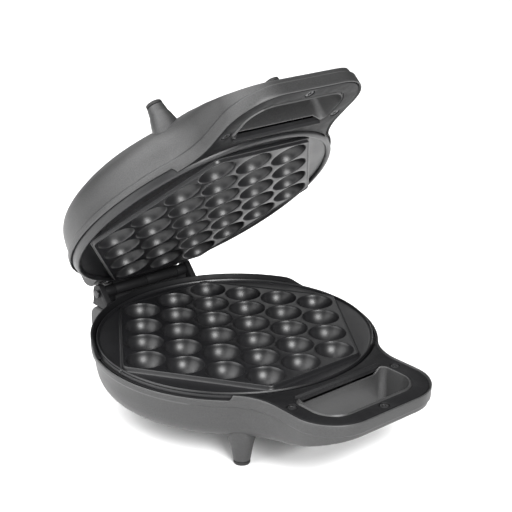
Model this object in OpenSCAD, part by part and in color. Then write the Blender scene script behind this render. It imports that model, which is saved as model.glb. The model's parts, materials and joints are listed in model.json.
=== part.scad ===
// Round twin-plate donut maker: two mirrored halves that close on a rear hinge.
// Each half is a metallic bowl with a loop handle, a black trim, a non-stick
// casting with thirty round cups, its heater, and four feet.
// Millimetres. Z is up, the feet stand on z = 0, the handles point to -Y.

/* [Lid] */
// Opening angle of the lid as stored
lid_angle = 43.8; // [0:0.2:90]
// Gap left between the two cup decks when shut
deck_gap = 1.6; // [1.4:0.1:2.4]

/* [Body] */
// Outer radius of both round shells
body_r = 99; // [98.8:0.2:100.4]
// Shell wall thickness
wall = 2; // [1.6:0.1:2.2]
// Height of the lower cup deck over the table
deck_z = 56.5; // [56:0.5:60]
// How far the upper shell sits back behind its cup deck
lid_drop = 2.9; // [2.5:0.1:3.2]

/* [Handle] */
// Half width of the handle
grip_w = 52.7; // [52:0.1:54]
// Distance from the plate centre to the front of the handle
grip_y = 152; // [151:0.5:154]
// Radius of the handle's front corners
grip_r = 30; // [26:1:34]
// Radius of the neck between handle and body
neck_r = 40; // [38:1:44]
// Half width of the finger opening
loop_w = 38; // [37:0.1:38.2]

/* [Plates] */
// Distance between cups along a row
cup_pitch = 30; // [29.8:0.1:30]
// Distance between rows
row_pitch = 22.73; // [22.5:0.01:22.75]
// Radius of a cup's mouth
cup_r = 12.8; // [12:0.1:12.9]
// Depth of a cup
cup_depth = 11.5; // [10.5:0.1:11.6]

/* [Hidden] */
$fn = 96;
origin_y = 9.12;
hinge_y = 107.3;
hinge_z = 3.2;
barrel_r = 4.3;
pin_r = 2;
rim_top = -0.4;
floor_z = -2.5;
plate_z = -4.3;
plate_r = body_r - 3.4;
deck_t = 3;
ball_r = (cup_r * cup_r + cup_depth * cup_depth) / (2 * cup_depth);
foot_x = 49;
foot_y = 67;
lip = 1.7;
lining = 1.5;
clamp_z = -22.8;
reflector_z = -24.2;
element_r = 62;
element_z = -17.5;
gland_z = -19.6;
guard_start = 16;
hex_n = [0.8347, 0.5508];
screws_xy = [[44.7, -110], [-44.7, -110], [0, -144.4]];
// shell profile: [step in from the outer radius, height]
bowl = [[0, -4.2], [0.4, -8.5], [1.6, -8.9], [2.8, -14], [3.2, -20], [4.2, -25.5], [7, -30],
    [10.7, -33.3], [15, -36], [21, -38.8], [33, -41.3], [59, -43]];
bowl_end = -43.5;
// handle sides: [inset, height], following the bowl's own taper
draft = [[0.4, -8.5], [2.8, -14], [3.2, -20], [4.2, -25.5], [7, -30], [10.7, -33.3], [15, -36], [21, -38.8]];
// the neck fillets pass the body circle 0.3 mm clear of it, so the two never graze
neck_d = body_r + neck_r + 0.3;
neck_x = grip_w + neck_r;
neck_y = -sqrt(neck_d * neck_d - neck_x * neck_x);
neck_tx = neck_x * body_r / neck_d;
neck_ty = neck_y * body_r / neck_d;
corner_y = grip_r - grip_y;
neck_end = neck_tx - 0.9;
lip_y = neck_ty - 1.6;
// underside of the handle: [y, height]
under = [[-152, -10.8], [-150, -12], [-135, -17], [-121, -22], [-107, -27.5], [-95, -31.5],
    [-82, -35], [-70, -38], [-50, -40.5]];

// ---------- placing ----------
module in_base() {
    translate([0, origin_y, deck_z]) children();
}

// lid parts are drawn like base parts, then turned over onto the hinge
module in_lid(drop = 0) {
    in_base()
        translate([0, hinge_y, hinge_z])
            rotate([-lid_angle, 0, 0])
                translate([0, -hinge_y, deck_gap - hinge_z])
                    mirror([0, 0, 1])
                        translate([0, 0, -drop])
                            children();
}

// extrudes a [y, z] outline along X, centred
module along_x(half) {
    rotate([90, 0, 90])
        translate([0, 0, -half])
            linear_extrude(2 * half) children();
}

module slab(z0, z1) {
    translate([0, 0, z0]) linear_extrude(z1 - z0) children();
}

module four(x = foot_x, y = foot_y) {
    for (sx = [-1, 1], sy = [-1, 1]) translate([sx * x, sy * y, 0]) children();
}

module pair(x) {
    for (sx = [-1, 1]) translate([sx * x, 0, 0]) children();
}

// pan-head screw, seat at z = 0, head up, shank down
module screw(head_r, head_h, shank_r, length) {
    difference() {
        union() {
            cylinder(r = head_r, h = head_h);
            translate([0, 0, -length]) cylinder(r = shank_r, h = length);
        }
        for (a = [0, 90]) rotate([0, 0, a])
            translate([-head_r * 0.6, -0.4, head_h - 0.8]) cube([head_r * 1.2, 0.8, 1]);
    }
}

// ---------- outlines ----------
// handle outline seen from above, neck fillets included, inset by i
module grip_plan(i = 0, y1 = neck_ty) {
    intersection() {
        union() {
            difference() {
                translate([-neck_tx, neck_y]) square([2 * neck_tx, y1 - neck_y]);
                pair(neck_x) translate([0, neck_y]) circle(r = neck_r + i);
            }
            translate([-grip_w + i, corner_y]) square([2 * (grip_w - i), y1 - corner_y]);
            pair(grip_w - grip_r) translate([0, corner_y]) circle(r = grip_r - i);
            translate([grip_r - grip_w, -grip_y + i]) square([2 * (grip_w - grip_r), grip_r]);
        }
        translate([-80, -grip_y - 5]) square([160, grip_y + 5 + y1]);
    }
}

// solid handle with drafted sides, inset by i, built from pieces that share whole faces
module grip_solid(i = 0, top = -0.5) {
    side = [for (p = concat([[0, top]], draft)) [p[0] + i, p[1]]];
    low = side[len(side) - 1][1];
    inner_y = neck_ty + 4;
    difference() {
        translate([-neck_end, neck_y, low]) cube([2 * neck_end, inner_y - neck_y, top - low]);
        pair(neck_x) translate([0, neck_y, 0]) rotate_extrude()
            polygon(concat([[0, low - 1], [0, top + 1], [neck_r + i, top + 1]],
                [for (p = side) [neck_r + p[0], p[1]]], [[neck_r + side[len(side) - 1][0], low - 1]]));
    }
    translate([0, neck_y, 0]) rotate([90, 0, 0]) linear_extrude(neck_y - corner_y)
        polygon(concat([for (p = side) [grip_w - p[0], p[1]]],
            [for (k = [len(side) - 1:-1:0]) [side[k][0] - grip_w, side[k][1]]]));
    along_x(grip_w - grip_r)
        polygon(concat([[corner_y, low], [corner_y, top]], [for (p = side) [p[0] - grip_y, p[1]]]));
    for (s = [-1, 1]) translate([s * (grip_w - grip_r), corner_y, 0])
        rotate([0, 0, s < 0 ? 180 : 270]) rotate_extrude(angle = 90)
            polygon(concat([[0, low], [0, top]], [for (p = side) [grip_r - p[0], p[1]]]));
}

// D-shaped finger opening grown by e
module loop_plan(e = 0) {
    rf = 15.5 + e;
    rr = 4.5 + e;
    w = loop_w + e;
    y0 = -grip_y + 14.1 - e;
    y1 = -105.8 + e;
    pair(w - rf) translate([0, y0 + rf]) circle(r = rf);
    pair(w - rr) translate([0, y1 - rr]) circle(r = rr);
    translate([-w + rf, y0]) square([2 * (w - rf), y1 - y0]);
    translate([-w, y0 + rf]) square([2 * w, y1 - y0 - rf - rr]);
    translate([-w + rr, y1 - rr - 1]) square([2 * (w - rr), rr + 1]);
}

module hex_plan(o) {
    f = row_pitch * 3 + o;
    s = 62.6 + o;
    xc = s / hex_n[0];
    xf = (s - f * hex_n[1]) / hex_n[0];
    polygon([[xc, 0], [xf, f], [-xf, f], [-xc, 0], [-xf, -f], [xf, -f]]);
}

module cups() {
    for (row = [-3:3])
        for (k = [0:5 - abs(row)])
            translate([(k - (5 - abs(row)) / 2) * cup_pitch, row * row_pitch, 0]) children();
}

// ---------- shells ----------
module bowl_solid(dr = 0, dz = 0, top = -4.2) {
    rotate_extrude()
        polygon(concat([[0, top], [body_r - dr, top]],
            [for (p = bowl) if (p[1] + dz < top) [body_r - p[0] - dr, p[1] + dz]],
            [[0, bowl_end + dz]]));
}

module under_profile(up = 0) {
    along_x(80)
        polygon(concat([[-50, 1], [-grip_y - 2, 1], [-grip_y - 2, under[0][1] + up]],
            [for (p = under) [p[0], p[1] + up]]));
}

module grip_walls() {
    difference() {
        intersection() {
            grip_solid();
            under_profile();
        }
        difference() {
            intersection() {
                grip_solid(lip, 1);
                under_profile(wall);
            }
            slab(-47, 2) loop_plan(lining);
            for (p = screws_xy) translate([p[0], p[1], -47]) cylinder(r = 3.1, h = 43);
        }
        bowl_solid(wall, wall, 3);
        // the body circle's rim stays low; the handle's lip starts at the neck
        translate([-80, lip_y, -4.4]) cube([160, 60, 8]);
        // the lining stays low along the straight rear edge of the opening
        translate([-34, -106.9, -4.5]) cube([68, 6, 6]);
        slab(-50, 2) loop_plan();
        for (p = screws_xy) translate([p[0], p[1], -11]) cylinder(r = 1.25, h = 9);
        for (p = screws_xy) translate([p[0], p[1], -3.9]) cylinder(r = 3.3, h = 5);
    }
}

module rear_profile(top, t = 0) {
    polygon([[84, top - t], [112 - t * 0.4, top - t], [118 - t, top - 5 - t * 0.6], [118 - t, -25],
        [113 - t, -31 + t], [99, -36 + t], [84, -39 + t]]);
}

module rear_box(top) {
    difference() {
        along_x(42) rear_profile(top);
        along_x(42 - wall) rear_profile(top, wall);
        bowl_solid(wall, wall, 3);
    }
    for (x = [-32, -10, 10, 32])
        translate([x, 102, top - 9]) cylinder(r = 2.6, h = 8);
}

module foot(tip) {
    translate([0, 0, tip + 2.5]) cylinder(r1 = 5.6, r2 = 7.3, h = -43.5 - tip - 2.5);
    translate([0, 0, -43.5]) cylinder(r1 = 7.3, r2 = 9.4, h = 6);
    translate([0, 0, -37.5]) cylinder(r = 9.4, h = 10);
}

module shell(top, tip) {
    difference() {
        union() {
            difference() {
                bowl_solid();
                bowl_solid(wall, wall, 3);
            }
            grip_walls();
            rear_box(top);
            // ledge that carries the frame
            rotate_extrude()
                polygon([[body_r - 6, -9.9], [body_r - 3, -9.9], [body_r - 3, -13], [body_r - 4.2, -13]]);
            difference() {
                four() foot(tip);
                bowl_solid(wall, wall, 3);
            }
            four() translate([0, 0, -39]) cylinder(r = 4.6, h = reflector_z + 39 - 0.4);
        }
        four() translate([0, 0, tip - 1]) cylinder(r = 3.4, h = -41 - tip);
        four() translate([0, 0, -43]) cylinder(r = 1.7, h = 24);
        for (x = [-32, -10, 10, 32])
            translate([x, 102, top - 8]) cylinder(r = 1.25, h = 12);
        translate([0, 80, -27]) rotate([-90, 0, 0]) cylinder(r = 5, h = 21);
    }
}

module base_shell() {
    color("silver") in_base() difference() {
        shell(-8, -deck_z);
        translate([0, 110, gland_z]) rotate([-90, 0, 0]) cylinder(r = 4.9, h = 12);
    }
}

module lid_shell() {
    color("silver") in_lid(lid_drop) difference() {
        shell(-9.5 + lid_drop, -deck_z + lid_drop);
        pair(9) translate([0, -60, -48]) cylinder(r = 4, h = 14);
    }
}

// ---------- black trim ----------
module handle_cover() {
    difference() {
        slab(-3.8, -0.8) difference() {
            grip_plan(lip + 0.4, lip_y - 0.3);
            circle(r = body_r - 1.4);
            loop_plan(lining + 0.25);
        }
        for (p = screws_xy) translate([p[0], p[1], -5]) {
            cylinder(r = 1.6, h = 6);
            translate([0, 0, 2.4]) cylinder(r = 3.2, h = 4);
        }
    }
}

module base_handle_cover() {
    color("black") in_base() handle_cover();
}

module lid_handle_cover() {
    color("black") in_lid(lid_drop) handle_cover();
}

module cover_screws() {
    for (p = screws_xy) translate([p[0], p[1], -2.6]) screw(2.8, 1.4, 1.15, 8);
}

module base_cover_screws() {
    color("dimgray") in_base() cover_screws();
}

module lid_cover_screws() {
    color("dimgray") in_lid(lid_drop) cover_screws();
}

module frame_ring() {
    rotate_extrude()
        polygon([[plate_r - 3, -9.5], [body_r - 4.6, -9.5], [body_r - 4.6, -6.2], [body_r - 2.6, -6.2],
            [body_r - 2.6, -4.7], [plate_r - 3, -4.7]]);
}

// the lower frame also carries a raised rear guard along the back half
module base_frame() {
    color("black") in_base() {
        frame_ring();
        rotate([0, 0, guard_start]) rotate_extrude(angle = 180 - 2 * guard_start)
            polygon([[plate_r + 0.35, -5.4], [body_r - 2.7, -5.4], [body_r - 2.7, -3.9], [body_r - 0.1, -3.9],
                [body_r - 0.1, 1.9], [body_r - 0.7, 2.5], [body_r - 1.8, 2.5], [plate_r + 0.35, -0.6]]);
    }
}

module lid_frame() {
    color("black") in_lid(lid_drop) frame_ring();
}

// ---------- castings ----------
module plate(h) {
    difference() {
        union() {
            rotate_extrude()
                polygon([[0, plate_z], [plate_r, plate_z], [plate_r - 0.7, rim_top - 0.3], [plate_r - 1, rim_top],
                    [plate_r - 1.5, rim_top], [plate_r - 2, floor_z], [0, floor_z]]);
            slab(plate_z, h) hex_plan(15.2);
            slab(h - 0.1, h + 0.6) difference() {
                hex_plan(15.2);
                hex_plan(14);
            }
        }
        slab(plate_z - 1, h - deck_t) hex_plan(12.7);
        cups() translate([0, 0, h + ball_r - cup_depth]) sphere(r = ball_r);
    }
    difference() {
        union() {
            intersection() {
                cups() translate([0, 0, h + ball_r - cup_depth]) sphere(r = ball_r + 1.9);
                translate([0, 0, h - 20]) cylinder(r = 120, h = 18.6);
            }
            four() translate([0, 0, clamp_z]) cylinder(r = 4, h = h - 1.5 - clamp_z);
        }
        cups() translate([0, 0, h + ball_r - cup_depth]) sphere(r = ball_r);
        four() translate([0, 0, clamp_z - 1]) cylinder(r = 1.55, h = 13);
    }
}

module base_plate() {
    color("#2a2b2d") in_base() plate(0);
}

module lid_plate() {
    color("#2a2b2d") in_lid(lid_drop) plate(lid_drop);
}

// ---------- heaters ----------
module element() {
    ends = [[-element_r * sin(15), element_r * cos(15)], [element_r * sin(15), element_r * cos(15)]];
    translate([0, 0, element_z]) rotate([0, 0, 105])
        rotate_extrude(angle = 330) translate([element_r, 0]) circle(r = 3.2);
    for (p = ends) translate([p[0], p[1], element_z]) {
        translate([0, 0, -4]) cylinder(r = 3.6, h = 7.4);
        translate([0, 0, -11.5]) cylinder(r = 1.7, h = 8);
    }
}

module element_clips() {
    for (a = [150, 210, 270, 330, 30]) rotate([0, 0, a])
        translate([element_r, 0, 0]) {
            translate([-5, -4, -22.6]) cube([10, 8, 1.5]);
            for (x = [-5, 3.6]) translate([x, -4, -22.6]) cube([1.4, 8, 7]);
        }
}

module reflector() {
    difference() {
        union() {
            translate([0, 0, reflector_z]) cylinder(r = 88, h = 1.2);
            rotate_extrude() polygon([[87, reflector_z], [88, reflector_z], [89.5, -17], [88.5, -17]]);
        }
        four() translate([0, 0, -30]) cylinder(r = 1.7, h = 10);
        translate([0, 20, -30]) cylinder(r = 6, h = 10);
        for (s = [-1, 1])
            translate([s * element_r * sin(15), element_r * cos(15), -30]) cylinder(r = 3, h = 10);
    }
}

module fuse() {
    translate([-7, -25, -17.5]) rotate([0, 90, 0]) cylinder(r = 2.2, h = 14);
    translate([-14, -25, -17.5]) rotate([0, 90, 0]) cylinder(r = 0.6, h = 28);
}

module wiring() {
    pair(3) translate([0, 0, -27]) {
        translate([0, 20, 0]) rotate([-90, 0, 0]) cylinder(r = 1.1, h = 81.6);
        translate([0, 20, 0]) sphere(r = 1.1);
        translate([0, 20, 0]) cylinder(r = 1.1, h = 7);
    }
}

module plate_screws() {
    four() translate([0, 0, -42]) rotate([180, 0, 0]) screw(2.9, 2, 1.45, 28);
}

module foot_pads(tip) {
    four() {
        translate([0, 0, tip]) cylinder(r1 = 5.4, r2 = 5.6, h = 2.3);
        translate([0, 0, tip + 2.3]) cylinder(r = 3.2, h = 5);
    }
}

module base_element() {
    color("#3c3a38") in_base() element();
}

module base_element_clips() {
    color("gainsboro") in_base() element_clips();
}

module base_reflector() {
    color("gainsboro") in_base() reflector();
}

module base_thermostat() {
    color("#c9c2b0") in_base() {
        translate([0, 0, -19.5]) cylinder(r = 8, h = 5.2);
        translate([-12, -2.5, -20.3]) cube([24, 5, 0.9]);
    }
}

module base_thermal_fuse() {
    color("white") in_base() fuse();
}

module base_plate_screws() {
    color("lightgray") in_base() plate_screws();
}

module base_foot_pads() {
    color("#181818") in_base() foot_pads(-deck_z);
}

module base_wiring() {
    color("white") in_base() wiring();
}

module lid_element() {
    color("#3c3a38") in_lid(lid_drop) element();
}

module lid_element_clips() {
    color("gainsboro") in_lid(lid_drop) element_clips();
}

module lid_reflector() {
    color("gainsboro") in_lid(lid_drop) reflector();
}

module lid_thermal_fuse() {
    color("white") in_lid(lid_drop) fuse();
}

module lid_plate_screws() {
    color("lightgray") in_lid(lid_drop) plate_screws();
}

module lid_foot_pads() {
    color("#181818") in_lid(lid_drop) foot_pads(-deck_z + lid_drop);
}

module lid_wiring() {
    color("white") in_lid(lid_drop) wiring();
}

// ---------- supply ----------
module terminal_block() {
    color("ivory") in_base() difference() {
        translate([-13, 102, -28.8]) cube([26, 8.5, 8.5]);
        for (x = [-8, 0, 8]) translate([x, 106, -22.3]) cylinder(r = 1.8, h = 3);
    }
}

module cord_gland() {
    color("black") in_base() translate([0, 110.8, gland_z]) rotate([-90, 0, 0]) difference() {
        union() {
            cylinder(r = 4.6, h = 12);
            cylinder(r = 5.35, h = 4.5);
            translate([0, 0, 7.6]) cylinder(r1 = 6.6, r2 = 5.2, h = 4.4);
        }
        translate([0, 0, -1]) cylinder(r = 3.2, h = 20);
    }
}

// ---------- hinge ----------
module knuckle(x0, x1, z0, z1, bore) {
    difference() {
        union() {
            translate([x0, hinge_y, hinge_z]) rotate([0, 90, 0]) cylinder(r = barrel_r, h = x1 - x0);
            translate([x0, hinge_y - 2.8, z0]) cube([x1 - x0, 5.6, z1 - z0]);
        }
        translate([x0 - 1, hinge_y, hinge_z]) rotate([0, 90, 0]) cylinder(r = bore, h = x1 - x0 + 2);
    }
}

module ear() {
    difference() {
        along_x(2)
            polygon([[96.8, -7.3], [96.8, -1], [105.6, 9.2], [109.5, 9.6], [113.2, 7], [114.3, 3.2],
                [114.2, -3], [115.5, -7.3]]);
        translate([-5, hinge_y, hinge_z]) rotate([0, 90, 0]) cylinder(r = pin_r + 0.02, h = 10);
    }
}

module hinge_bracket() {
    color("#303030") in_base() {
        difference() {
            translate([-40, 99.4, -7.7]) cube([80, 13, 2]);
            for (x = [-32, -10, 10, 32]) translate([x, 102, -9]) cylinder(r = 1.6, h = 5);
        }
        pair(39) ear();
        // web that closes the gap under the barrels
        translate([-30, 104.6, -5.8]) cube([60, 5.4, 4.2]);
        knuckle(-36.5, -28.2, -6, hinge_z, pin_r + 0.02);
        knuckle(28.2, 36.5, -6, hinge_z, pin_r + 0.02);
    }
}

module hinge_bracket_screws() {
    color("dimgray") in_base()
        for (x = [-32, -10, 10, 32]) translate([x, 102, -5.7]) screw(2.4, 1.5, 1.15, 9);
}

module hinge_pin() {
    color("dimgray") in_base() translate([-42, hinge_y, hinge_z]) rotate([0, 90, 0]) {
        cylinder(r = pin_r, h = 84);
        translate([0, 0, -1.2]) cylinder(r = 3, h = 1.6);
    }
}

// drawn in the closed lid's own upside-down frame
module hinge_leaf() {
    z = deck_gap - hinge_z;
    color("#303030") in_lid() {
        difference() {
            translate([-35, 99.6, -9.2]) cube([70, 13, 1.8]);
            for (x = [-32, -10, 10, 32]) translate([x, 102, -11]) cylinder(r = 1.6, h = 6);
        }
        for (s = [-27.8, 0.2]) difference() {
            union() {
                translate([s, hinge_y, z]) rotate([0, 90, 0]) cylinder(r = barrel_r, h = 27.6);
                translate([s, hinge_y - 2.8, -7.6]) cube([27.6, 5.6, z + 7.6]);
            }
            translate([s - 1, hinge_y, z]) rotate([0, 90, 0]) cylinder(r = pin_r + 0.05, h = 30);
        }
    }
}

module hinge_leaf_screws() {
    color("dimgray") in_lid()
        for (x = [-32, -10, 10, 32]) translate([x, 102, -7.4]) screw(2.4, 1.5, 1.15, 9);
}

// ---------- lamps ----------
module lens() {
    translate([0, -60, -42.4]) cylinder(r1 = 3.3, r2 = 3.8, h = 0.9);
    translate([0, -60, -41.5]) cylinder(r = 3.8, h = 5.6);
}

module power_lens() {
    color("red") in_lid(lid_drop) translate([-9, 0, 0]) lens();
}

module ready_lens() {
    color("green") in_lid(lid_drop) translate([9, 0, 0]) lens();
}

module lamp_holder() {
    color("ivory") in_lid(lid_drop) difference() {
        translate([-17, -66, -35.7]) cube([34, 12, 6]);
        pair(9) translate([0, -60, -36]) cylinder(r = 2.4, h = 4);
    }
}

base_shell();
base_handle_cover();
base_frame();
base_plate();
base_element();
base_element_clips();
base_reflector();
base_thermostat();
base_thermal_fuse();
base_plate_screws();
base_cover_screws();
base_foot_pads();
base_wiring();
terminal_block();
cord_gland();
hinge_bracket();
hinge_bracket_screws();
hinge_pin();
lid_shell();
lid_handle_cover();
lid_frame();
lid_plate();
lid_element();
lid_element_clips();
lid_reflector();
lid_thermal_fuse();
lid_plate_screws();
lid_cover_screws();
lid_foot_pads();
lid_wiring();
hinge_leaf();
hinge_leaf_screws();
power_lens();
ready_lens();
lamp_holder();
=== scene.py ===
"""Looks of a round twin-plate donut maker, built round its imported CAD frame.

Both halves are drawn in one half frame: millimetres, x across, y from the handle (-) to the
hinge (+), z up from the cup deck, and placed by BASE or LID. Everything else is in metres.
"""
import json
import math

import bmesh
import bpy
import numpy as np
from mathutils import Matrix, Vector
from mathutils.geometry import delaunay_2d_cdt


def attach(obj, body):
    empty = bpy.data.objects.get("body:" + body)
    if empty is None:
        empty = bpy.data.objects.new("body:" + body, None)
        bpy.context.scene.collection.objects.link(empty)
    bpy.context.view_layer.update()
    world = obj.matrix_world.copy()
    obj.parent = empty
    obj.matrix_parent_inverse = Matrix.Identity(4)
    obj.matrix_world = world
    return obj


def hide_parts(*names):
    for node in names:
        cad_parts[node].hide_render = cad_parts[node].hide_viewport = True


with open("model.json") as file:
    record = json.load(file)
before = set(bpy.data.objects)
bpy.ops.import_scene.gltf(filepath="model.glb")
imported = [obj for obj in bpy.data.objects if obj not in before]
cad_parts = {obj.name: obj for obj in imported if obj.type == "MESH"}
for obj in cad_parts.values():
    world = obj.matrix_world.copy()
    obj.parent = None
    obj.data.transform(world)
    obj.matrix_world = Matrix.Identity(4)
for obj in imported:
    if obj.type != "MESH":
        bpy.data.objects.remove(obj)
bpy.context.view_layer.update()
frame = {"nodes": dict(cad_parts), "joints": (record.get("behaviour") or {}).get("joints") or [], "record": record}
NODES = frame["nodes"]

# ---------- driving sizes, in millimetres of the half frame ----------
MM = 0.001
BODY_R = 99.0
# handle: half width, distance of its front, and the radii of its corners and neck
GRIP_W, GRIP_Y, GRIP_R, NECK_R = 52.7, 152.0, 30.0, 40.0
# finger opening: half width, front and rear, and the radii of its front and rear corners
LOOP_W, LOOP_FRONT, LOOP_REAR = 38.0, -137.9, -105.8
LOOP_RF, LOOP_RR = 15.5, 4.5
# where the shell's rim steps up to the handle
LIP_Y = -75.5
DECK_GAP, LID_DROP = 1.6, 2.9
HINGE_Y, HINGE_Z = 107.3, 3.2
# plate: radius, heights of its sunk floor, rim and flange, and the radius past which its coating is thin
PLATE_R = BODY_R - 3.4
FLOOR_Z, RIM_Z, CAST_Z = -2.5, -0.4, -4.3
COATING_R = 94.7
CUP_PITCH, ROW_PITCH, CUP_R, CUP_DEPTH, CUP_EDGE = 30.0, 22.73, 12.8, 11.5, 0.6
# hexagon round the cups: unit normal of a slanted side, and the two distances of its sides
HEX_N = (0.8347, 0.5508)
HEX_S, HEX_F = 62.6, 3 * ROW_PITCH
FOOT_X, FOOT_Y = 49.0, 67.0
HOUSING_HALF_W = 42
# metal or plastic thickness of the shells and of the castings
SKIN, CAST_WALL = 1.7, 1.6
# degrees from the side to the rear guard's end, and degrees over which its top sinks
GUARD_START, GUARD_FADE = 16.0, 12.0
LENS_X, LENS_Y, LENS_R = 9.0, -60.0, 4
COVER_SCREWS = [(44.7, -110), (-44.7, -110), (0, -144.4)]
COVER_SCREW_R = 3.2
# outlines of the frame's ring and of the rear guard on it: (radius, height)
RING_PROFILE = [(PLATE_R - 3, -9.5), (BODY_R - 4.6, -9.5), (BODY_R - 4.6, -6.2), (BODY_R - 2.6, -6.2),
                (BODY_R - 2.6, -4.7), (PLATE_R - 3, -4.7)]
GUARD_PROFILE = [(PLATE_R + 0.35, -5.4), (BODY_R - 2.7, -5.4), (BODY_R - 2.7, -3.9), (BODY_R - 0.1, -3.9),
                 (BODY_R - 0.1, 1.9), (BODY_R - 0.7, 2.5), (BODY_R - 1.8, 2.5), (PLATE_R + 0.35, -0.6)]
# points closer than this, in metres, are one point
WELD_FINE, WELD_SHELL, WELD_CASTING = 1e-6, 2e-6, 4e-6

# ---------- places, from the frame ----------
hinge = frame["joints"][0]
LID_ANGLE = -hinge["range_deg"][0]
ORIGIN = Vector(hinge["pos_m"]) - Vector((0, HINGE_Y, HINGE_Z)) * MM
DECK_Z = ORIGIN.z / MM
BASE = Matrix.Translation(ORIGIN) @ Matrix.Scale(MM, 4)
CLOSED_LID = Matrix.Translation((0, -HINGE_Y, DECK_GAP - HINGE_Z)) @ Matrix.Diagonal((1, 1, -1, 1))
LID_DECK = (BASE @ Matrix.Translation((0, HINGE_Y, HINGE_Z))
            @ Matrix.Rotation(math.radians(-LID_ANGLE), 4, "X") @ CLOSED_LID)
LID = LID_DECK @ Matrix.Translation((0, 0, -LID_DROP))


# ---------- camera ----------
VIEW_AZIMUTH, VIEW_ELEVATION = -40.06, 20.91
# millimetres from the base's plate centre to the point looked at, along the view's right and up
AIM_RIGHT, AIM_UP = 14.72, 50.46
VIEW_DISTANCE = 869.0
LENS_MM, SENSOR_MM = 88.478, 36


def add_camera():
    azimuth, elevation = math.radians(VIEW_AZIMUTH), math.radians(VIEW_ELEVATION)
    back = Vector((math.sin(azimuth) * math.cos(elevation), -math.cos(azimuth) * math.cos(elevation),
                   math.sin(elevation)))
    right = (-back).cross(Vector((0, 0, 1))).normalized()
    up = right.cross(-back)
    target = ORIGIN + (right * AIM_RIGHT + up * AIM_UP) * MM
    data = bpy.data.cameras.new("camera")
    data.sensor_width = SENSOR_MM
    data.lens = LENS_MM
    camera = bpy.data.objects.new("camera", data)
    turn = Matrix((right, up, back)).transposed().to_4x4()
    camera.matrix_world = Matrix.Translation(target + back * VIEW_DISTANCE * MM) @ turn
    bpy.context.scene.collection.objects.link(camera)
    bpy.context.scene.camera = camera


add_camera()


# ---------- mesh helpers ----------
def add_mesh(name, verts, faces, matrix=Matrix.Identity(4)):
    mesh = bpy.data.meshes.new(name)
    mesh.from_pydata([tuple(map(float, v)) for v in verts], [], [tuple(map(int, f)) for f in faces])
    mesh.transform(matrix)
    if matrix.determinant() < 0:
        mesh.flip_normals()
    mesh.validate()
    obj = bpy.data.objects.new(name, mesh)
    bpy.context.scene.collection.objects.link(obj)
    return obj


def outward(obj):
    """Turns a closed mesh's faces outwards."""
    bm = bmesh.new()
    bm.from_mesh(obj.data)
    bmesh.ops.remove_doubles(bm, verts=bm.verts, dist=WELD_FINE)
    bmesh.ops.recalc_face_normals(bm, faces=bm.faces)
    bm.to_mesh(obj.data)
    bm.free()
    return obj


def faced(obj, matrix, weld, up):
    """Welds an open sheet and turns it so that its highest face looks up (up = 1), or its lowest
    one looks down (up = -1), in the half frame."""
    to_half = matrix.inverted()
    bm = bmesh.new()
    bm.from_mesh(obj.data)
    bmesh.ops.remove_doubles(bm, verts=bm.verts, dist=weld)
    bmesh.ops.recalc_face_normals(bm, faces=bm.faces)
    last = max(bm.faces, key=lambda f: up * (to_half @ f.calc_center_median()).z)
    if up * (to_half.to_3x3() @ last.normal).z < 0:
        bmesh.ops.reverse_faces(bm, faces=bm.faces)
    bm.to_mesh(obj.data)
    bm.free()
    return obj


def bake(obj):
    """Applies every modifier."""
    graph = bpy.context.evaluated_depsgraph_get()
    mesh = bpy.data.meshes.new_from_object(obj.evaluated_get(graph))
    obj.modifiers.clear()
    obj.data = mesh
    return obj


def thicken(obj, wall):
    """Gives an open sheet a wall behind its faces."""
    mod = obj.modifiers.new("thickness", "SOLIDIFY")
    mod.thickness = wall * MM
    mod.offset = -1
    return bake(obj)


def bevel(obj, width, segments, angle):
    """Rounds every edge sharper than the angle."""
    mod = obj.modifiers.new("edges", "BEVEL")
    mod.width = width * MM
    mod.segments = segments
    mod.limit_method = "ANGLE"
    mod.angle_limit = math.radians(angle)
    mod.use_clamp_overlap = True
    return bake(obj)


def smooth(obj, angle):
    """Shades smooth, apart from edges sharper than the angle."""
    obj.data.shade_smooth()
    obj.data.set_sharp_from_angle(angle=math.radians(angle))
    return obj


def joined(name, parts):
    """One mesh object from several."""
    bm = bmesh.new()
    for part in parts:
        bm.from_mesh(part.data)
    mesh = bpy.data.meshes.new(name)
    bm.to_mesh(mesh)
    bm.free()
    for part in parts:
        bpy.data.objects.remove(part)
    obj = bpy.data.objects.new(name, mesh)
    bpy.context.scene.collection.objects.link(obj)
    return obj


def loft(rings, caps=(False, False)):
    """Quads between closed rings of equal length; a cap closes the first or last ring with one face."""
    n = len(rings[0])
    verts = [p for ring in rings for p in ring]
    faces = []
    for k in range(len(rings) - 1):
        for i in range(n):
            j = (i + 1) % n
            faces.append((k * n + i, k * n + j, (k + 1) * n + j, (k + 1) * n + i))
    if caps[0]:
        faces.append(tuple(reversed(range(n))))
    if caps[1]:
        faces.append(tuple(range((len(rings) - 1) * n, len(rings) * n)))
    return verts, faces


def lathe(profile, count, start=0.0, sweep=360.0, x=0.0, y=0.0):
    """Revolves a closed (r, z) outline about the vertical line at x, y."""
    whole = sweep >= 360
    steps = count if whole else count + 1
    rings = []
    for i in range(steps):
        a = math.radians(start + sweep * i / count)
        rings.append([(x + r * math.cos(a), y + r * math.sin(a), z) for r, z in profile])
    if whole:
        rings.append(rings[0])
    return loft(rings, caps=(not whole, not whole))


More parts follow.
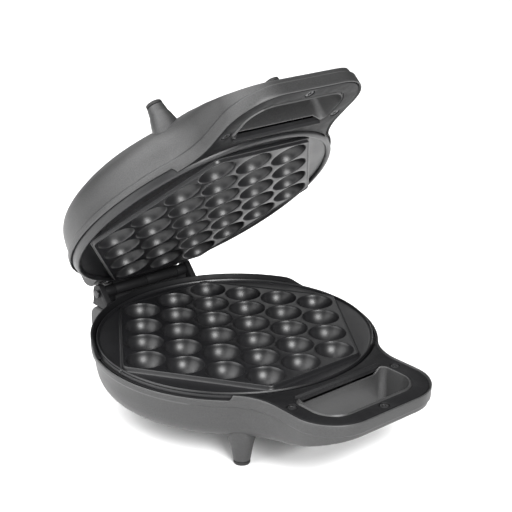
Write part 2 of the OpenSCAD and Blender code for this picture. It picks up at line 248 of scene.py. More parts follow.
def rounded(points, radius, steps=4):
    """The closed outline with its corners rounded; radius may be one number or one for each corner."""
    out = []
    count = len(points)
    for i, corner in enumerate(points):
        r = radius[i] if isinstance(radius, (list, tuple)) else radius
        before, after = points[i - 1], points[(i + 1) % count]
        to_before = Vector(before) - Vector(corner)
        to_after = Vector(after) - Vector(corner)
        if r <= 0:
            out.append(tuple(corner))
            continue
        reach = min(r, 0.49 * to_before.length, 0.49 * to_after.length)
        a = Vector(corner) + to_before.normalized() * reach
        b = Vector(corner) + to_after.normalized() * reach
        for k in range(steps + 1):
            t = k / steps
            out.append(tuple(a.lerp(Vector(corner), t).lerp(Vector(corner).lerp(b, t), t)))
    return out


def arc(cx, cy, r, a0, a1, count):
    """Points of an arc, with the unit vector away from its centre."""
    angles = [math.radians(a0 + (a1 - a0) * k / count) for k in range(count)]
    return [((cx + r * math.cos(a), cy + r * math.sin(a)), (math.cos(a), math.sin(a))) for a in angles]


# ---------- outlines seen from above ----------
def body_outline():
    """Shell outline, anticlockwise from the right neck: points and inward unit vectors."""
    reach = BODY_R + NECK_R
    nx = GRIP_W + NECK_R
    ny = -math.sqrt(reach * reach - nx * nx)
    neck = math.degrees(math.atan2(ny, nx))
    corner_y = GRIP_R - GRIP_Y
    corner_x = GRIP_W - GRIP_R
    inner = []
    inner += [(p, (-n[0], -n[1])) for p, n in arc(0, 0, BODY_R, neck, 180 - neck, 240)]
    inner += arc(-nx, ny, NECK_R, -neck, 0, 28)
    inner += [((-GRIP_W, ny + (corner_y - ny) * k / 8), (1, 0)) for k in range(8)]
    inner += [(p, (-n[0], -n[1])) for p, n in arc(-corner_x, corner_y, GRIP_R, 180, 270, 24)]
    inner += [((-corner_x + 2 * corner_x * k / 16, -GRIP_Y), (0, 1)) for k in range(16)]
    inner += [(p, (-n[0], -n[1])) for p, n in arc(corner_x, corner_y, GRIP_R, 270, 360, 24)]
    inner += [((GRIP_W, corner_y + (ny - corner_y) * k / 8), (-1, 0)) for k in range(8)]
    inner += arc(nx, ny, NECK_R, 180, 180 + neck, 28)
    points = np.array([p for p, n in inner])
    return points, np.array([n for p, n in inner])


def loop_outline():
    """Finger opening, anticlockwise: points and unit vectors away from the opening."""
    xf, xr = LOOP_W - LOOP_RF, LOOP_W - LOOP_RR
    yf, yr = LOOP_FRONT + LOOP_RF, LOOP_REAR - LOOP_RR
    parts = arc(xr, yr, LOOP_RR, 0, 90, 10)
    parts += [((xr - 2 * xr * k / 24, LOOP_REAR), (0, 1)) for k in range(24)]
    parts += arc(-xr, yr, LOOP_RR, 90, 180, 10)
    parts += [((-LOOP_W, yr + (yf - yr) * k / 5), (-1, 0)) for k in range(5)]
    parts += arc(-xf, yf, LOOP_RF, 180, 270, 20)
    parts += [((-xf + 2 * xf * k / 16, LOOP_FRONT), (0, -1)) for k in range(16)]
    parts += arc(xf, yf, LOOP_RF, 270, 360, 20)
    parts += [((LOOP_W, yf + (yr - yf) * k / 5), (1, 0)) for k in range(5)]
    return np.array([p for p, n in parts]), np.array([n for p, n in parts])


def hex_outline(offset, radius, steps=6):
    """Hexagon round the cups with rounded corners, anticlockwise."""
    s, f = HEX_S + offset - radius, HEX_F + offset - radius
    xc = s / HEX_N[0]
    xf = (s - f * HEX_N[1]) / HEX_N[0]
    corners = [(xc, 0), (xf, f), (-xf, f), (-xc, 0), (-xf, -f), (xf, -f)]
    side = math.degrees(math.atan2(HEX_N[1], HEX_N[0]))
    normals = [-side, side, 90, 180 - side, 180 + side, 270, 360 - side]
    out = []
    for (x, y), a0, a1 in zip(corners, normals, normals[1:]):
        for k in range(steps + 1):
            a = math.radians(a0 + (a1 - a0) * k / steps)
            out.append((x + radius * math.cos(a), y + radius * math.sin(a)))
    return out


def cup_centres():
    """Seven rows of three to six cups."""
    return [((k - (5 - abs(row)) / 2) * CUP_PITCH, row * ROW_PITCH)
            for row in range(-3, 4) for k in range(6 - abs(row))]


# ---------- shell surface ----------
def curve_through(points, per_span=8):
    """Smooth curve through the points (Catmull-Rom)."""
    p = [np.array(q, float) for q in points]
    p = [2 * p[0] - p[1]] + p + [2 * p[-1] - p[-2]]
    out = []
    for a, b, c, d in zip(p, p[1:], p[2:], p[3:]):
        for k in range(per_span):
            t = k / per_span
            out.append(0.5 * (2 * b + (c - a) * t + (2 * a - 5 * b + 4 * c - d) * t * t
                              + (3 * b - a - 3 * c + d) * t ** 3))
    out.append(p[-2])
    return np.array(out)


# side wall below the step, then the belly: (inset from the outline, height)
BELLY = curve_through([(1.5, -9.0), (2.3, -14), (3.0, -20), (4.4, -25.5), (7, -30), (10.7, -33.3),
                       (15, -36), (21, -38.8), (33, -41.3), (59, -43), (99, -43.5)])
WALL_END = 12.0
# underside of the handle: (y, height)
UNDER = curve_through([(-156, -9.0), (-150, -12), (-135, -17), (-121, -22), (-107, -27.5), (-95, -32),
                       (-85, -36.3), (-75, -39.6), (-65, -42.5), (-55, -46), (-40, -60)], 6)
ROUNDING = 2.6
# the shell's rim round the bowl, its rise at the handle, and the top of the step below it
RIM_LOW, RIM_STEP, STEP_TOP = -4.2, 3.7, -8.35


def belly_z(inset):
    """Height of the side wall and belly at an inset from the outline."""
    return np.interp(inset, BELLY[:, 0], BELLY[:, 1])


def under_z(y):
    """Height of the handle's underside; far below the bowl behind it."""
    return np.interp(y, UNDER[:, 0], UNDER[:, 1], right=-80.0)


def smooth_max(a, b):
    """The larger of two heights, with the corner between them rounded."""
    return 0.5 * (a + b + np.sqrt((a - b) ** 2 + ROUNDING ** 2))


def surface_z(inset, y):
    return smooth_max(belly_z(inset), under_z(y))


def ramp(x, lo, hi):
    """Smooth step from 0 at lo to 1 at hi."""
    t = np.clip((x - lo) / (hi - lo), 0, 1)
    return t * t * (3 - 2 * t)


def wall_rings(outline, inward):
    """Rings down the outside of the shell, from the rim to the belly."""
    y = outline[:, 1]
    on_grip = ramp(-y, -LIP_Y - 0.5, -LIP_Y + 0.5)
    rim = RIM_LOW + on_grip * RIM_STEP
    step = 1 - ramp(-y, 52, 74)
    rows = []
    for inset, drop in ((0.55, 0.0), (0.16, 0.16), (0.0, 0.55)):
        rows.append((np.full(len(y), inset), rim - drop))
    for share in (0.4, 0.75, 0.95):
        rows.append((np.full(len(y), 0.35 * share), rim - 0.55 + (STEP_TOP - rim + 0.55) * share))
    rows.append((0.42 + 0.25 * step, -8.62))
    rows.append((0.62 + 0.75 * step, -8.78))
    lower = BELLY[BELLY[:, 0] <= WALL_END]
    for inset, z in lower[1:]:
        rows.append((np.full(len(y), inset), z))
    rings = []
    for k, (inset, z) in enumerate(rows):
        xy = outline + inward * inset[:, None]
        if k >= 3:
            z = smooth_max(z, under_z(xy[:, 1]))
            z = np.minimum(z, rim - 0.6 - 0.01 * k)
        rings.append([(px, py, pz) for (px, py), pz in zip(xy, z)])
    return rings


# row spacing of a triangular grid, as a share of the spacing along a row
TRIANGLE_ROW = 0.866


def fill(outer, holes, height, spacing, margin):
    """Triangulates between an outer ring and holes, with a grid of inner points lifted by height."""
    loops = [np.array(outer)[:, :2]] + [np.array(h)[:, :2] for h in holes]
    edges_at = np.concatenate(loops)
    lo, hi = loops[0].min(0), loops[0].max(0)
    grid = []
    for j in range(int((hi[1] - lo[1]) / (spacing * TRIANGLE_ROW)) + 1):
        for i in range(int((hi[0] - lo[0]) / spacing) + 2):
            grid.append((lo[0] + (i + 0.5 * (j % 2)) * spacing, lo[1] + j * spacing * TRIANGLE_ROW))
    grid = np.array(grid)
    inside = in_polygon(grid, loops[0])
    for hole in loops[1:]:
        inside &= ~in_polygon(grid, hole)
    near = np.sqrt(((grid[:, None] - edges_at[None]) ** 2).sum(2)).min(1)
    grid = grid[inside & (near > margin)]
    points, edges, start = [], [], 0
    for loop in loops:
        points += [Vector(p) for p in loop]
        edges += [(start + i, start + (i + 1) % len(loop)) for i in range(len(loop))]
        start += len(loop)
    points += [Vector(p) for p in grid]
    out, _, faces, _, _, _ = delaunay_2d_cdt(points, edges, [], 0, 1e-5)
    centres = np.array([sum((out[i] for i in f), Vector((0, 0))) / len(f) for f in faces])
    keep = in_polygon(centres, loops[0])
    for hole in loops[1:]:
        keep &= ~in_polygon(centres, hole)
    xy = np.array([tuple(p) for p in out])
    z = height(xy)
    known = np.concatenate([np.array(outer)] + [np.array(h) for h in holes])
    gap = ((xy[:, None] - known[None, :, :2]) ** 2).sum(2)
    nearest = gap.argmin(1)
    on_edge = gap[np.arange(len(xy)), nearest] < 1e-6
    z = np.where(on_edge, known[nearest, 2], z)
    verts = [(x, y, h) for (x, y), h in zip(xy, z)]
    return verts, [f for f, k in zip(faces, keep) if k]


def flat_fill(outer, holes, z, spacing, margin):
    return fill(outer, holes, lambda xy: np.full(len(xy), z), spacing, margin)


def in_polygon(points, loop):
    """Whether each point lies inside the closed loop (even-odd rule)."""
    x, y = points[:, 0][:, None], points[:, 1][:, None]
    x0, y0 = loop[:, 0][None], loop[:, 1][None]
    x1, y1 = np.roll(loop[:, 0], -1)[None], np.roll(loop[:, 1], -1)[None]
    spans = (y0 > y) != (y1 > y)
    slope = np.where(y1 == y0, 1e-12, y1 - y0)
    crossing = x0 + (y - y0) * (x1 - x0) / slope
    return (spans & (x < crossing)).sum(1) % 2 == 1


def shell_skin(name, matrix, lens_holes):
    """Bowl, handle and finger opening as one sheet, thickened inwards."""
    outline, inward = body_outline()
    loop, away = loop_outline()

    def height(xy):
        inset = np.sqrt(((xy[:, None] - outline[None]) ** 2).sum(2)).min(1)
        return surface_z(inset, xy[:, 1])

    wall = wall_rings(outline, inward)
    mouth = loop + away * 2.4
    mouth_z = height(mouth)
    # the lining stands just proud of the cover, but is cut low at the rear for the cover's wall bar
    rear = ramp(loop[:, 1], LOOP_REAR - 2.3, LOOP_REAR - 0.7)
    rear = rear * (1 - ramp(np.abs(loop[:, 0]), 31.5, 35.0))
    lining_top = -0.35 - 4.15 * rear
    lining = [[(x, y, z) for (x, y), z in zip(mouth, mouth_z)]]
    for offset, rise in ((1.3, 0.15), (0.5, 0.7), (0.12, 1.6), (0.0, 3.0)):
        xy = loop + away * offset
        lining.append([(x, y, z) for (x, y), z in zip(xy, mouth_z + rise)])
    floor = np.array(lining[-1])[:, 2]
    for offset, share, drop in ((0, 0.5, 0), (0, 1, 0.6), (0.12, 1, 0.18), (0.5, 1, 0)):
        xy = loop + away * offset
        z = floor + (lining_top - drop - floor) * share
        lining.append([(x, y, h) for (x, y), h in zip(xy, z)])
    holes = [lining[0]]
    if lens_holes:
        for sx in (-1, 1):
            ring = [(sx * LENS_X + LENS_R * math.cos(t), LENS_Y + LENS_R * math.sin(t))
                    for t in np.linspace(0, 2 * math.pi, 40, endpoint=False)]
            z = height(np.array(ring))
            holes.append([(x, y, h) for (x, y), h in zip(ring, z)])
    belly_verts, belly_faces = fill(wall[-1], holes, height, 3.6, 2.2)
    verts, faces = [], []
    for v, f in (loft(wall), (belly_verts, belly_faces), loft(lining)):
        start = len(verts)
        verts += v
        faces += [tuple(start + i for i in reversed(q)) for q in f]
    obj = faced(add_mesh(name, verts, faces, matrix), matrix, WELD_SHELL, -1)
    return bevel(thicken(obj, SKIN), 0.3, 2, 60)


def rear_housing(name, matrix, top):
    """Flared box behind the bowl that carries the hinge."""
    side = [(88, top), (112, top), (118, top - 5), (118, -25), (113, -31), (99, -36), (88, -38.5)]
    side = rounded(side, [0, 3, 5, 6, 6, 8, 0])
    rings = [[(x, y, z) for y, z in side] for x in (-HOUSING_HALF_W, HOUSING_HALF_W)]
    obj = outward(add_mesh(name, *loft(rings, caps=(True, True)), matrix))
    return bevel(obj, 1.6, 4, 60)


def foot(name, matrix, tip, x, y):
    """Tapering foot with a flared root."""
    profile = [(0, tip + 2.5), (5.0, tip + 2.5), (5.5, tip + 2.7), (5.75, tip + 3.2), (6.5, tip + 8),
               (7.5, -43), (8.2, -40.2), (8.9, -37.6), (9.4, -34), (9.4, -28), (0, -28)]
    closed = [profile[0]] + rounded(profile[1:-1], 0.25, 2) + [profile[-1]]
    return outward(add_mesh(name, *lathe(closed, 64, x=x, y=y), matrix))


def shell(half, matrix, housing_top, tip, lens_holes):
    """Bowl with its handle, rear housing and four feet."""
    parts = [shell_skin(half + "_skin", matrix, lens_holes),
             rear_housing(half + "_housing", matrix, housing_top)]
    for sx in (-1, 1):
        for sy in (-1, 1):
            parts.append(foot(half + "_foot", matrix, tip, sx * FOOT_X, sy * FOOT_Y))
    return smooth(joined(half + "_shell_skin", parts), 50)


# ---------- castings ----------
# offset of the top of the border's outer side from the hexagon
SIDE_TOP = 15.35


def casting(half, matrix, deck):
    """Cup plate: deck with cups, hexagonal border, sunk floor and rim."""
    verts, faces = [], []

    def add(part):
        start = len(verts)
        verts.extend(part[0])
        faces.extend(tuple(start + i for i in f) for f in part[1])

    ball = (CUP_R ** 2 + CUP_DEPTH ** 2) / (2 * CUP_DEPTH)
    centre_z = deck + ball - CUP_DEPTH
    mouth_angle = math.atan2(CUP_R, deck - CUP_EDGE - centre_z)
    profile = []
    for k in range(4):
        a = math.radians(90 * k / 4)
        profile.append((CUP_R + CUP_EDGE * (1 - math.sin(a)), deck - CUP_EDGE * (1 - math.cos(a))))
    for k in range(13):
        a = mouth_angle + (math.pi - mouth_angle) * k / 13
        profile.append((ball * math.sin(a), centre_z + ball * math.cos(a)))
    turns = np.linspace(0, 2 * math.pi, 48, endpoint=False)
    mouths = []
    for x, y in cup_centres():
        rings = [[(x + r * math.cos(t), y + r * math.sin(t), z) for t in turns] for r, z in profile]
        add(loft(rings))
        bottom = len(verts)
        verts.append((x, y, centre_z - ball))
        n = len(turns)
        faces.extend((bottom - n + i, bottom - n + (i + 1) % n, bottom) for i in range(n))
        mouths.append(rings[0])
    # border from the deck over its crest and down: (offset from the hexagon, height)
    border = [(13.6, deck), (13.9, deck + 0.04), (14.2, deck + 0.3), (14.45, deck + 0.5),
              (14.75, deck + 0.56), (15.05, deck + 0.45), (15.2, deck + 0.2), (SIDE_TOP, deck - 0.3)]
    if deck > 0:
        # the upper deck stands higher, with a ledge halfway down its side
        border += [(15.4, deck - 1.3), (15.5, deck - 1.5), (16.2, deck - 1.6), (16.4, deck - 1.8),
                   (16.45, deck - 2.9)]
    ledge = border[-1][0] - SIDE_TOP
    border += [(max(15.7, 15.4 + ledge), FLOOR_Z + 1.0), (16.0 + 0.6 * ledge, FLOOR_Z + 0.4),
               (16.5 + 0.4 * ledge, FLOOR_Z + 0.08), (17.1 + 0.2 * ledge, FLOOR_Z)]
    rings = [[(x, y, z) for x, y in hex_outline(o, 4.0 + o - border[0][0])] for o, z in border]
    add(loft(rings))
    add(flat_fill(rings[0], mouths, deck, 9.0, 1.5))
    # floor, rim and outer wall, as rings round the axis
    rim = [(92.3, FLOOR_Z), (92.9, FLOOR_Z + 0.08), (93.4, FLOOR_Z + 0.35), (93.75, FLOOR_Z + 0.8),
           (94.1, RIM_Z - 0.25), (94.25, RIM_Z - 0.06), (94.5, RIM_Z), (94.8, RIM_Z - 0.06),
           (95.0, RIM_Z - 0.3), (PLATE_R, CAST_Z), (PLATE_R, CAST_Z - 1.2)]
    around = np.linspace(0, 2 * math.pi, 288, endpoint=False)
    circles = [[(r * math.cos(t), r * math.sin(t), z) for t in around] for r, z in rim]
    add(loft(circles))
    add(flat_fill(circles[0], [rings[-1]], FLOOR_Z, 9.0, 1.5))
    obj = faced(add_mesh(half + "_plate_casting", verts, faces, matrix), matrix, WELD_CASTING, 1)
    thicken(obj, CAST_WALL)
    to_half = matrix.inverted()
    for face in obj.data.polygons:
        spot = to_half @ face.center
        if math.hypot(spot.x, spot.y) > COATING_R:
            face.material_index = 1
    parts = [obj]
    # a small locating dome beyond each side corner of the hexagon
    corner = (HEX_S + 16.4) / HEX_N[0]
    dome = [(0, -3.2), (1.5, -3.2), (1.5, -2.2), (1.2, -1.4), (0.6, -1.0), (0, -0.9)]
    for sx in (-1, 1):
        parts.append(outward(add_mesh("locator", *lathe(dome, 24, x=sx * corner), matrix)))
    return smooth(joined(half + "_plate_casting", parts), 42)


# ---------- trim ----------
def ring(name, matrix):
    """Frame ring round the plate."""
    closed = rounded(RING_PROFILE, 0.35, 3)
    return smooth(outward(add_mesh(name, *lathe(closed, 288), matrix)), 40)


def guard(matrix):
    """Raised rear rail whose top sinks into the ring over its last degrees."""
    closed = rounded(GUARD_PROFILE, 0.35, 3)
    verts, faces = lathe(closed, 288, GUARD_START, 180 - 2 * GUARD_START)
    # points below this height stay where they are
    low = -3.4
    sunk = []
    for x, y, z in verts:
        past_end = math.degrees(math.atan2(y, abs(x))) - GUARD_START
        share = ramp(past_end, 0, GUARD_FADE)
        sunk.append((x, y, z if z < low else low + (z - low) * share))
    return smooth(outward(add_mesh("guard", sunk, faces, matrix)), 40)


def inset_loop(points, depth):
    """The closed loop moved by depth along its own vertex normals (to the left of its direction)."""
    before = points - np.roll(points, 1, 0)
    after = np.roll(points, -1, 0) - points
    before /= np.linalg.norm(before, axis=1)[:, None]
    after /= np.linalg.norm(after, axis=1)[:, None]
    normal = np.stack([-(before + after)[:, 1], (before + after)[:, 0]], 1)
    normal /= np.maximum(np.linalg.norm(normal, axis=1), 0.3)[:, None]
    return points + normal * depth


def slab(name, matrix, outer, holes, z0, z1, edge):
    """Flat closed piece with rounded upper edges."""
    verts, faces = [], []
    tops, bottoms = [], []
    for points in [outer] + holes:
        rings = []
        for depth, z in ((0, z0), (0, z1 - edge), (0.1, z1 - 0.6 * edge), (0.4, z1 - 0.2 * edge), (1, z1)):
            rings.append([(x, y, z) for x, y in inset_loop(points, depth * edge)])
        start = len(verts)
        v, f = loft(rings)
        verts += v
        faces += [tuple(start + i for i in q) for q in f]
        tops.append(rings[-1])
        bottoms.append(rings[0])
    for level, z in ((tops, z1), (bottoms, z0)):
        start = len(verts)
        v, f = flat_fill(level[0], level[1:], z, 8.0, 2.0)
        verts += v
        faces += [tuple(start + i for i in q) for q in f]
    return smooth(outward(add_mesh(name, verts, faces, matrix)), 40)


def handle_cover(half, matrix):
    """Trim plate on the handle's mating face, with the wall bar behind the finger opening."""
    outline, inward = body_outline()
    tip_y = LIP_Y - 0.3
    grip = (outline + inward * (SKIN + 0.25))[outline[:, 1] < tip_y - 0.4]
    inner_r = BODY_R - 1.4
    reach = math.degrees(math.asin(-tip_y / inner_r))
    bowl_side = np.array([p for p, n in arc(0, 0, inner_r, -reach, -180 + reach, 60)])
    outer = np.concatenate([grip, bowl_side])
    loop, away = loop_outline()
    opening = loop + away * 1.75
    holes = [opening[::-1]]
    for x, y in COVER_SCREWS:
        holes.append(np.array([p for p, n in arc(x, y, COVER_SCREW_R, 360, 0, 32)]))
    cover = slab(half + "_cover", matrix, outer, holes, -3.8, -0.8, 0.55)
    bar_x, bar_y = LOOP_W - 3.0, LOOP_REAR + 1.75
    bar = arc(bar_x, bar_y + 1, 1, -90, 90, 6) + arc(-bar_x, bar_y + 1, 1, 90, 270, 6)
    wall = slab(half + "_wall", matrix, np.array([p for p, n in bar]), [], -3.0, 0.9, 0.5)
    return smooth(joined(half + "_handle_cover_trim", [cover, wall]), 40)


def softened(node, width):
    """Copy of a CAD node with its sharp edges broken."""
    source = NODES[node]
    obj = bpy.data.objects.new(node + "_finished", source.data.copy())
    bpy.context.scene.collection.objects.link(obj)
    obj.data.materials.clear()
    bm = bmesh.new()
    bm.from_mesh(obj.data)
    bmesh.ops.remove_doubles(bm, verts=bm.verts, dist=WELD_FINE)
    bmesh.ops.dissolve_limit(bm, angle_limit=math.radians(1.5), verts=bm.verts, edges=bm.edges)
    bm.to_mesh(obj.data)
    bm.free()
    bevel(obj, width, 2, 30)
    return smooth(obj, 32)


# ---------- materials ----------
class Look:
    """Builds one procedural material, node by node."""

    def __init__(self, name):
        self.material = bpy.data.materials.new(name)
        self.material.use_nodes = True
        self.tree = self.material.node_tree
        self.shader = self.tree.nodes["Principled BSDF"]
        self.coords = self.add("ShaderNodeTexCoord").outputs["Object"]

    def add(self, kind, **values):
        node = self.tree.nodes.new(kind)
        for key, value in values.items():
            setattr(node, key, value)
        return node

    def link(self, a, b):
        self.tree.links.new(a, b)

    def noise(self, scale, detail=3.0, rough=0.5):
        node = self.add("ShaderNodeTexNoise")
        node.inputs["Scale"].default_value = scale
        node.inputs["Detail"].default_value = detail
        node.inputs["Roughness"].default_value = rough
        self.link(self.coords, node.inputs["Vector"])
        return node.outputs["Fac"]

    def cells(self, scale):
        node = self.add("ShaderNodeTexVoronoi")
        node.inputs["Scale"].default_value = scale
        self.link(self.coords, node.inputs["Vector"])
        return node.outputs["Distance"]

    def spread(self, value, lo, hi, out_lo, out_hi):
        node = self.add("ShaderNodeMapRange")
        for key, number in zip(("From Min", "From Max", "To Min", "To Max"), (lo, hi, out_lo, out_hi)):
            node.inputs[key].default_value = number
        self.link(value, node.inputs["Value"])
        return node.outputs["Result"]

    def blend(self, value, low, high):
        node = self.add("ShaderNodeMix", data_type="RGBA")
        node.inputs["A"].default_value = (*low, 1)
        node.inputs["B"].default_value = (*high, 1)
        self.link(value, node.inputs["Factor"])
        return node.outputs["Result"]

    def mix(self, value, a, high):
        """Blends colour socket a towards a fixed colour."""
        node = self.add("ShaderNodeMix", data_type="RGBA")
        self.link(a, node.inputs["A"])
        node.inputs["B"].default_value = (*high, 1)
        self.link(value, node.inputs["Factor"])
        return node.outputs["Result"]

    def bump(self, *layers):
        """Layers of (height socket, depth in metres), stacked."""
        last = None
        for height, depth in layers:
            node = self.add("ShaderNodeBump")
            node.inputs["Distance"].default_value = depth
            node.inputs["Strength"].default_value = 1.0
            self.link(height, node.inputs["Height"])
            if last:
                self.link(last, node.inputs["Normal"])
            last = node.outputs["Normal"]
        self.link(last, self.shader.inputs["Normal"])

    def edges(self):
        """Near 1 on convex edges, where the looks paint a highlight."""
        geometry = self.add("ShaderNodeNewGeometry")
        return self.spread(geometry.outputs["Pointiness"], 0.52, 0.6, 0.0, 1.0)

    def finish(self, colour, roughness, **fixed):
        self.link(colour, self.shader.inputs["Base Color"])
        self.link(roughness, self.shader.inputs["Roughness"])
        for key, value in fixed.items():
            self.shader.inputs[key.replace("_", " ")].default_value = value
        return self.material


def metallic_paint():
    look = Look("metallic_paint")
    flake = look.noise(1500, 4, 0.8)
    broad = look.noise(26, 3)
    grains = look.spread(flake, 0.36, 0.64, 0, 1)
    colour = look.blend(grains, (0.031, 0.031, 0.0313), (0.056, 0.056, 0.0565))
    # painted highlight: convex edges are painted a lighter grey
    colour = look.mix(look.spread(look.edges(), 0, 1, 0, 0.25), colour, (0.18, 0.18, 0.181))
    rough = look.spread(broad, 0.3, 0.7, 0.46, 0.54)
    look.bump((look.noise(900, 2), 0.000012), (flake, 0.000012))
    return look.finish(colour, rough, Metallic=0.6, Coat_Weight=0.08, Coat_Roughness=0.35)


def moulded_black():
    look = Look("moulded_black")
    grain = look.noise(2600, 3, 0.6)
    colour = look.blend(look.noise(60, 3), (0.003, 0.003, 0.0035), (0.008, 0.008, 0.0085))
    # painted highlight: convex edges are painted a lighter black-grey
    colour = look.mix(look.spread(look.edges(), 0, 1, 0, 0.5), colour, (0.03, 0.03, 0.031))
    rough = look.spread(look.noise(140, 3), 0.3, 0.7, 0.46, 0.58)
    look.bump((grain, 0.00003))
    return look.finish(colour, rough, Specular_IOR_Level=0.14)


def nonstick():
    look = Look("nonstick")
    speck = look.noise(3400, 2, 0.6)
    specks = look.spread(speck, 0.35, 0.65, 0, 1)
    colour = look.blend(specks, (0.003, 0.003, 0.0035), (0.01, 0.01, 0.011))
    rough = look.spread(look.noise(70, 4), 0.3, 0.7, 0.36, 0.42)
    look.bump((speck, 0.00001), (look.noise(500, 2), 0.00001))
    return look.finish(colour, rough, Specular_IOR_Level=0.5)


def coated_rim():
    """The casting's turned side wall, where the coating is thin over grey metal."""
    look = Look("coated_rim")
    colour = look.blend(look.noise(1500, 2), (0.035, 0.035, 0.035), (0.06, 0.06, 0.06))
    rough = look.spread(look.noise(90, 3), 0.3, 0.7, 0.42, 0.52)
    look.bump((look.noise(2600, 2), 0.00001))
    return look.finish(colour, rough, Metallic=0.3)


def dark_steel():
    look = Look("dark_steel")
    colour = look.blend(look.noise(800, 3), (0.028, 0.028, 0.029), (0.07, 0.07, 0.072))
    rough = look.spread(look.noise(300, 2), 0.3, 0.7, 0.3, 0.5)
    look.bump((look.noise(2500, 2), 0.000015))
    return look.finish(colour, rough, Metallic=0.8)


def zinc():
    look = Look("zinc")
    colour = look.blend(look.cells(900), (0.42, 0.43, 0.44), (0.6, 0.6, 0.6))
    rough = look.spread(look.noise(120, 3), 0.3, 0.7, 0.28, 0.45)
    look.bump((look.noise(1800, 2), 0.00001))
    return look.finish(colour, rough, Metallic=1.0)


def sheath():
    look = Look("sheath")
    colour = look.blend(look.noise(90, 4), (0.045, 0.042, 0.04), (0.11, 0.095, 0.085))
    rough = look.spread(look.noise(200, 3), 0.3, 0.7, 0.45, 0.65)
    look.bump((look.noise(1500, 3), 0.00003))
    return look.finish(colour, rough, Metallic=0.6)


def white_insulation():
    look = Look("white_insulation")
    colour = look.blend(look.noise(120, 3), (0.62, 0.59, 0.52), (0.78, 0.76, 0.7))
    rough = look.spread(look.noise(240, 3), 0.3, 0.7, 0.5, 0.65)
    look.bump((look.noise(1600, 3), 0.00003))
    return look.finish(colour, rough)


def rubber():
    look = Look("rubber")
    colour = look.blend(look.noise(150, 3), (0.004, 0.004, 0.004), (0.009, 0.009, 0.009))
    rough = look.spread(look.noise(260, 3), 0.3, 0.7, 0.62, 0.8)
    look.bump((look.noise(1900, 3), 0.00004))
    return look.finish(colour, rough)


def lens(name, low, high):
    look = Look(name)
    colour = look.blend(look.cells(1400), low, high)
    rough = look.spread(look.noise(200, 2), 0.3, 0.7, 0.1, 0.2)
    look.bump((look.cells(1400), 0.00008))
    return look.finish(colour, rough, Coat_Weight=0.6)


# one look for each material slot of the record
LOOKS = {"shell_silver": metallic_paint(), "trim_black": moulded_black(), "nonstick": nonstick(),
         "heater_sheath": sheath(), "zinc_steel": zinc(), "heatproof_white": white_insulation(),
         "screw_dark": dark_steel(), "hinge_dark": moulded_black(), "foot_rubber": rubber(),
         "lens_red": lens("lens_red_look", (0.3, 0.01, 0.01), (0.6, 0.03, 0.02)),
         "lens_green": lens("lens_green_look", (0.01, 0.2, 0.03), (0.03, 0.45, 0.07))}
SLOTS = {part["node"]: part["material_slot"] for part in frame["record"]["subparts"]}


def place(obj, body, node, *extra):
    """Gives a new piece its body, that node's finish and any extra looks, and hides the CAD node it stands for."""
    slot = SLOTS[node]
    obj.data.materials.clear()
    for look in (LOOKS[slot], *extra):
        obj.data.materials.append(look)
    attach(obj, body)
    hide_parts(node)
    return obj


# ---------- assembly ----------
BODIES = frame["record"]["behaviour"]["bodies"]
place(shell("base", BASE, -8.0, -DECK_Z, False), "base", "base_shell")
place(shell("lid", LID, -9.5 + LID_DROP, -DECK_Z + LID_DROP, True), "lid", "lid_shell")
RIM_LOOK = coated_rim()
place(casting("base", BASE, 0.0), "base", "base_plate", RIM_LOOK)
place(casting("lid", LID, LID_DROP), "lid", "lid_plate", RIM_LOOK)
place(ring("lid_frame_ring", LID), "lid", "lid_frame")
base_ring = joined("base_frame_ring", [ring("ring", BASE), guard(BASE)])
place(smooth(base_ring, 40), "base", "base_frame")

place(handle_cover("base", BASE), "base", "base_handle_cover")
place(handle_cover("lid", LID), "lid", "lid_handle_cover")

# CAD nodes shown by a copy with bevelled edges, and the bevel's width in millimetres
SOFTENED = {"base_cover_screws": 0.2, "lid_cover_screws": 0.2, "hinge_bracket": 0.4, "hinge_leaf": 0.4,
            "hinge_bracket_screws": 0.2, "hinge_leaf_screws": 0.2, "hinge_pin": 0.3, "cord_gland": 0.4,
            "base_foot_pads": 0.4, "lid_foot_pads": 0.4, "power_lens": 0.3, "ready_lens": 0.3}
# CAD nodes drawn anew above; every other node is shown as it is
REDRAWN = [half + part for half in BODIES for part in ("_shell", "_plate", "_frame", "_handle_cover")]
for body, members in BODIES.items():
    for node in members:
        if node in SOFTENED:
            place(softened(node, SOFTENED[node]), body, node)
        elif node not in REDRAWN:
            NODES[node].data.materials.clear()
            NODES[node].data.materials.append(LOOKS[SLOTS[node]])
            smooth(NODES[node], 35)


# ---------- studio ----------
FLOOR_HALF_M = 6.0
# world strength met by camera rays, by diffuse rays and by every other ray
SEEN_LEVEL, FILL_LEVEL, MIRROR_LEVEL = 1.0, 0.62, 0.1
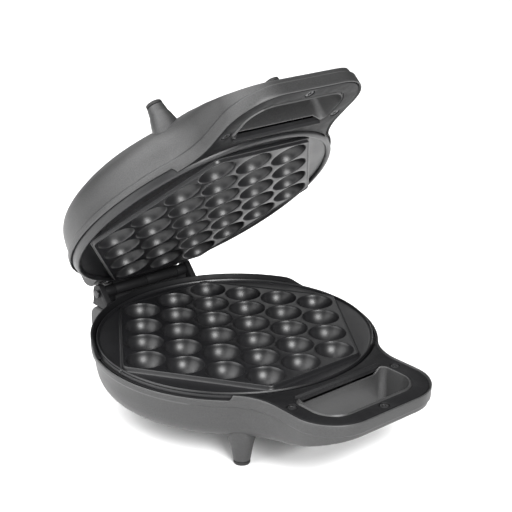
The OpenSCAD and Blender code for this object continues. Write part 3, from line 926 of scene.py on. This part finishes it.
# name, place and aim in metres, size, watts
LIGHTS = [("key", (-0.42, -1.2, 0.92), (0.0, 0.0, 0.06), (0.62, 0.62), 36),
          ("overhead", (-0.35, 0.45, 1.6), (0.0, 0.0, 0.05), (1.6, 1.6), 36),
          ("left", (-2.2, 0.5, 1.3), (0.0, 0.0, 0.15), (2.6, 2.6), 84),
          ("back", (0.7, 1.8, 1.3), (0.0, 0.0, 0.1), (2.0, 2.0), 9)]


def add_floor():
    look = Look("backdrop")
    colour = look.blend(look.noise(3, 2), (0.86, 0.86, 0.86), (0.88, 0.88, 0.88))
    rough = look.spread(look.noise(5, 2), 0.3, 0.7, 0.55, 0.65)
    look.finish(colour, rough)
    reach = FLOOR_HALF_M
    corners = [(-reach, -reach, 0), (reach, -reach, 0), (reach, reach, 0), (-reach, reach, 0)]
    obj = add_mesh("floor", corners, [(0, 1, 2, 3)])
    obj.data.materials.append(look.material)


def add_light(name, place_m, aim_m, size, watts):
    data = bpy.data.lights.new(name, "AREA")
    data.shape = "RECTANGLE"
    data.size, data.size_y = size
    data.energy = watts
    light = bpy.data.objects.new(name, data)
    light.location = place_m
    light.rotation_euler = (Vector(aim_m) - Vector(place_m)).to_track_quat("-Z", "Y").to_euler()
    bpy.context.scene.collection.objects.link(light)


def add_world():
    """Even white surround: full white to the camera, dimmer as fill light, darkest in reflections."""
    world = bpy.data.worlds.new("studio")
    world.use_nodes = True
    tree = world.node_tree
    background = tree.nodes["Background"]
    background.inputs["Color"].default_value = (1, 1, 1, 1)
    path = tree.nodes.new("ShaderNodeLightPath")
    fill_level = tree.nodes.new("ShaderNodeMapRange")
    fill_level.inputs["To Min"].default_value = MIRROR_LEVEL
    fill_level.inputs["To Max"].default_value = FILL_LEVEL
    tree.links.new(path.outputs["Is Diffuse Ray"], fill_level.inputs["Value"])
    level = tree.nodes.new("ShaderNodeMapRange")
    level.inputs["To Max"].default_value = SEEN_LEVEL
    tree.links.new(path.outputs["Is Camera Ray"], level.inputs["Value"])
    tree.links.new(fill_level.outputs["Result"], level.inputs["To Min"])
    tree.links.new(level.outputs["Result"], background.inputs["Strength"])
    bpy.context.scene.world = world


add_floor()
add_world()
for light_row in LIGHTS:
    add_light(*light_row)
bpy.context.scene.view_settings.view_transform = "Standard"
